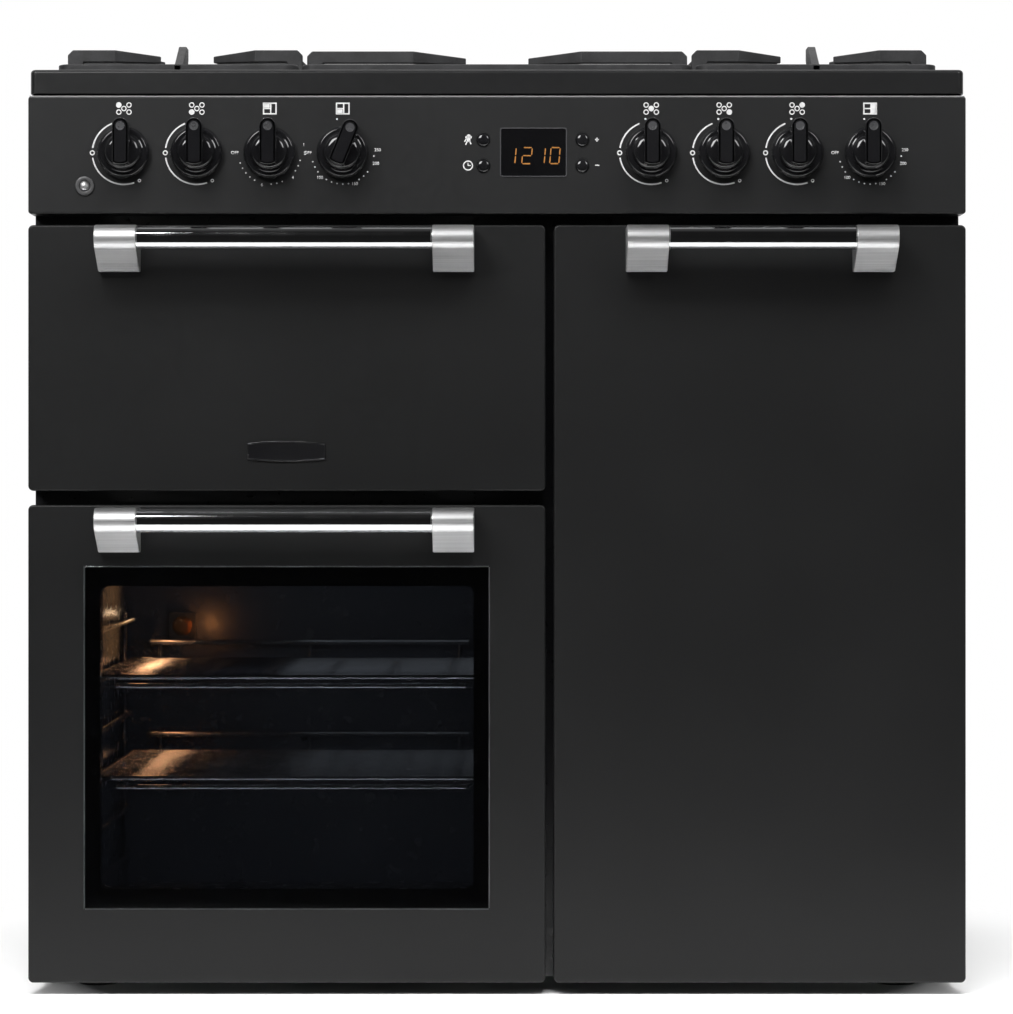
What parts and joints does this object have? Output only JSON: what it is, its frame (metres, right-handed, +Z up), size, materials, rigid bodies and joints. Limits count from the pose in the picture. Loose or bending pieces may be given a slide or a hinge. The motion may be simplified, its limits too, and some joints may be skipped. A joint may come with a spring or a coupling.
{
  "type": "range cooker",
  "caption": "Free-standing range cooker: gas hob with cast pan supports, knob panel with timer, grill compartment, windowed main oven and tall side oven.",
  "frame": {"origin": "on the floor under the middle of the cooker's overall box, handles included", "axes": "+Z up, +X to the cooker's right as seen from the front, +Y to the back"},
  "size_m": [0.9, 0.6504, 0.9235],
  "materials": {
    "satin_anthracite": "satin",
    "black_enamel": "gloss",
    "grey_steel": "galvanised",
    "cast_iron": "matt",
    "brushed_metal": "brushed",
    "bright_chrome": "polished",
    "gloss_black": "gloss",
    "case_plastic": "matt",
    "window_glass": "clear",
    "crown_aluminium": "cast",
    "seal_rope": "woven"
  },
  "bodies": {
    "cooker": {"side_panels": "satin_anthracite", "back_panel": "grey_steel", "base_pan": "grey_steel", "levelling_feet": "grey_steel", "front_frame": "black_enamel", "grill_cavity": "black_enamel", "main_oven_cavity": "black_enamel", "tall_oven_cavity": "black_enamel", "door_seals": "seal_rope", "hinge_arms": "grey_steel", "control_panel": "satin_anthracite", "timer_module": "case_plastic", "gas_rail": "crown_aluminium", "electrical_cases": "case_plastic", "hotplate": "satin_anthracite", "burner_crowns": "crown_aluminium", "burner_caps": "black_enamel", "side_racks": "bright_chrome", "heating_elements": "grey_steel", "fan_housing": "grey_steel", "oven_lamps": "case_plastic"},
    "grill_door": {"grill_door_outer": "satin_anthracite", "grill_door_inner": "black_enamel", "grill_handle_brackets": "brushed_metal", "grill_handle_bar": "bright_chrome"},
    "oven_door": {"oven_door_outer": "satin_anthracite", "oven_door_inner": "black_enamel", "oven_handle_brackets": "brushed_metal", "oven_handle_bar": "bright_chrome", "oven_door_glass": "window_glass"},
    "tall_door": {"tall_door_outer": "satin_anthracite", "tall_door_inner": "black_enamel", "tall_handle_brackets": "brushed_metal", "tall_handle_bar": "bright_chrome"},
    "gas_spindle_1": {"gas_spindle_1": "brushed_metal"},
    "gas_knob_1": {"gas_knob_1": "gloss_black"},
    "gas_spindle_2": {"gas_spindle_2": "brushed_metal"},
    "gas_knob_2": {"gas_knob_2": "gloss_black"},
    "oven_knob_3": {"oven_knob_3": "gloss_black"},
    "oven_knob_4": {"oven_knob_4": "gloss_black"},
    "gas_spindle_5": {"gas_spindle_5": "brushed_metal"},
    "gas_knob_5": {"gas_knob_5": "gloss_black"},
    "gas_spindle_6": {"gas_spindle_6": "brushed_metal"},
    "gas_knob_6": {"gas_knob_6": "gloss_black"},
    "gas_spindle_7": {"gas_spindle_7": "brushed_metal"},
    "gas_knob_7": {"gas_knob_7": "gloss_black"},
    "oven_knob_8": {"oven_knob_8": "gloss_black"},
    "timer_key_1": {"timer_key_1": "gloss_black"},
    "timer_key_2": {"timer_key_2": "gloss_black"},
    "timer_key_3": {"timer_key_3": "gloss_black"},
    "timer_key_4": {"timer_key_4": "gloss_black"},
    "ignition_button": {"ignition_button": "bright_chrome"},
    "left_pan_support": {"left_pan_support": "cast_iron"},
    "centre_pan_support": {"centre_pan_support": "cast_iron"},
    "right_pan_support": {"right_pan_support": "cast_iron"},
    "lower_shelf": {"lower_shelf": "bright_chrome"},
    "upper_shelf": {"upper_shelf": "bright_chrome"},
    "tall_oven_shelf": {"tall_oven_shelf": "bright_chrome"},
    "grill_pan": {"grill_pan": "black_enamel"},
    "fan_wheel": {"fan_wheel": "grey_steel"}
  },
  "joints": [
    {"name": "grill_door_hinge", "type": "hinge", "parent": "cooker", "child": "grill_door", "pos_m": [-0.20175, -0.25775, 0.4921], "axis": [1, 0, 0], "range_deg": [0, 90], "stiffness_Nm_per_rad": 2, "springref_deg": -17.19},
    {"name": "oven_door_hinge", "type": "hinge", "parent": "cooker", "child": "oven_door", "pos_m": [-0.20175, -0.25775, 0.02], "axis": [1, 0, 0], "range_deg": [0, 83], "stiffness_Nm_per_rad": 8, "springref_deg": -11.46},
    {"name": "tall_door_hinge", "type": "hinge", "parent": "cooker", "child": "tall_door", "pos_m": [0.442, -0.25775, 0.375], "axis": [0, 0, 1], "range_deg": [0, 95]},
    {"name": "gas_turn_1", "type": "hinge", "parent": "cooker", "child": "gas_spindle_1", "pos_m": [-0.358, -0.27475, 0.8085], "axis": [0, -1, 0], "range_deg": [0, 210]},
    {"name": "gas_push_1", "type": "slide", "parent": "gas_spindle_1", "child": "gas_knob_1", "axis": [0, 1, 0], "range_m": [0, 0.003], "stiffness_N_per_m": 800, "springref_m": -0.004},
    {"name": "gas_turn_2", "type": "hinge", "parent": "cooker", "child": "gas_spindle_2", "pos_m": [-0.288, -0.27475, 0.8085], "axis": [0, -1, 0], "range_deg": [0, 210]},
    {"name": "gas_push_2", "type": "slide", "parent": "gas_spindle_2", "child": "gas_knob_2", "axis": [0, 1, 0], "range_m": [0, 0.003], "stiffness_N_per_m": 800, "springref_m": -0.004},
    {"name": "oven_turn_3", "type": "hinge", "parent": "cooker", "child": "oven_knob_3", "pos_m": [-0.218, -0.27475, 0.8085], "axis": [0, 1, 0], "range_deg": [0, 270]},
    {"name": "oven_turn_4", "type": "hinge", "parent": "cooker", "child": "oven_knob_4", "pos_m": [-0.148, -0.27475, 0.8085], "axis": [0, 1, 0], "range_deg": [-22, 248]},
    {"name": "gas_turn_5", "type": "hinge", "parent": "cooker", "child": "gas_spindle_5", "pos_m": [0.148, -0.27475, 0.8085], "axis": [0, -1, 0], "range_deg": [0, 210]},
    {"name": "gas_push_5", "type": "slide", "parent": "gas_spindle_5", "child": "gas_knob_5", "axis": [0, 1, 0], "range_m": [0, 0.003], "stiffness_N_per_m": 800, "springref_m": -0.004},
    {"name": "gas_turn_6", "type": "hinge", "parent": "cooker", "child": "gas_spindle_6", "pos_m": [0.218, -0.27475, 0.8085], "axis": [0, -1, 0], "range_deg": [0, 210]},
    {"name": "gas_push_6", "type": "slide", "parent": "gas_spindle_6", "child": "gas_knob_6", "axis": [0, 1, 0], "range_m": [0, 0.003], "stiffness_N_per_m": 800, "springref_m": -0.004},
    {"name": "gas_turn_7", "type": "hinge", "parent": "cooker", "child": "gas_spindle_7", "pos_m": [0.288, -0.27475, 0.8085], "axis": [0, -1, 0], "range_deg": [0, 210]},
    {"name": "gas_push_7", "type": "slide", "parent": "gas_spindle_7", "child": "gas_knob_7", "axis": [0, 1, 0], "range_m": [0, 0.003], "stiffness_N_per_m": 800, "springref_m": -0.004},
    {"name": "oven_turn_8", "type": "hinge", "parent": "cooker", "child": "oven_knob_8", "pos_m": [0.358, -0.27475, 0.8085], "axis": [0, 1, 0], "range_deg": [0, 270]},
    {"name": "timer_press_1", "type": "slide", "parent": "cooker", "child": "timer_key_1", "axis": [0, 1, 0], "range_m": [0, 0.002], "stiffness_N_per_m": 500, "springref_m": -0.002},
    {"name": "timer_press_2", "type": "slide", "parent": "cooker", "child": "timer_key_2", "axis": [0, 1, 0], "range_m": [0, 0.002], "stiffness_N_per_m": 500, "springref_m": -0.002},
    {"name": "timer_press_3", "type": "slide", "parent": "cooker", "child": "timer_key_3", "axis": [0, 1, 0], "range_m": [0, 0.002], "stiffness_N_per_m": 500, "springref_m": -0.002},
    {"name": "timer_press_4", "type": "slide", "parent": "cooker", "child": "timer_key_4", "axis": [0, 1, 0], "range_m": [0, 0.002], "stiffness_N_per_m": 500, "springref_m": -0.002},
    {"name": "ignition_press", "type": "slide", "parent": "cooker", "child": "ignition_button", "axis": [0, 1, 0], "range_m": [0, 0.004], "stiffness_N_per_m": 400, "springref_m": -0.003},
    {"name": "left_support_lift", "type": "slide", "parent": "cooker", "child": "left_pan_support", "axis": [0, 0, 1], "range_m": [0, 0.06]},
    {"name": "centre_support_lift", "type": "slide", "parent": "cooker", "child": "centre_pan_support", "axis": [0, 0, 1], "range_m": [0, 0.06]},
    {"name": "right_support_lift", "type": "slide", "parent": "cooker", "child": "right_pan_support", "axis": [0, 0, 1], "range_m": [0, 0.06]},
    {"name": "lower_shelf_slide", "type": "slide", "parent": "cooker", "child": "lower_shelf", "axis": [0, -1, 0], "range_m": [0, 0.03]},
    {"name": "upper_shelf_slide", "type": "slide", "parent": "cooker", "child": "upper_shelf", "axis": [0, -1, 0], "range_m": [0, 0.03]},
    {"name": "tall_oven_shelf_slide", "type": "slide", "parent": "cooker", "child": "tall_oven_shelf", "axis": [0, -1, 0], "range_m": [0, 0.03]},
    {"name": "grill_pan_slide", "type": "slide", "parent": "cooker", "child": "grill_pan", "axis": [0, -1, 0], "range_m": [0, 0.03]},
    {"name": "fan_spin", "type": "hinge", "parent": "cooker", "child": "fan_wheel", "pos_m": [0.25225, 0.16675, 0.39], "axis": [0, 1, 0], "continuous": true}
  ]
}
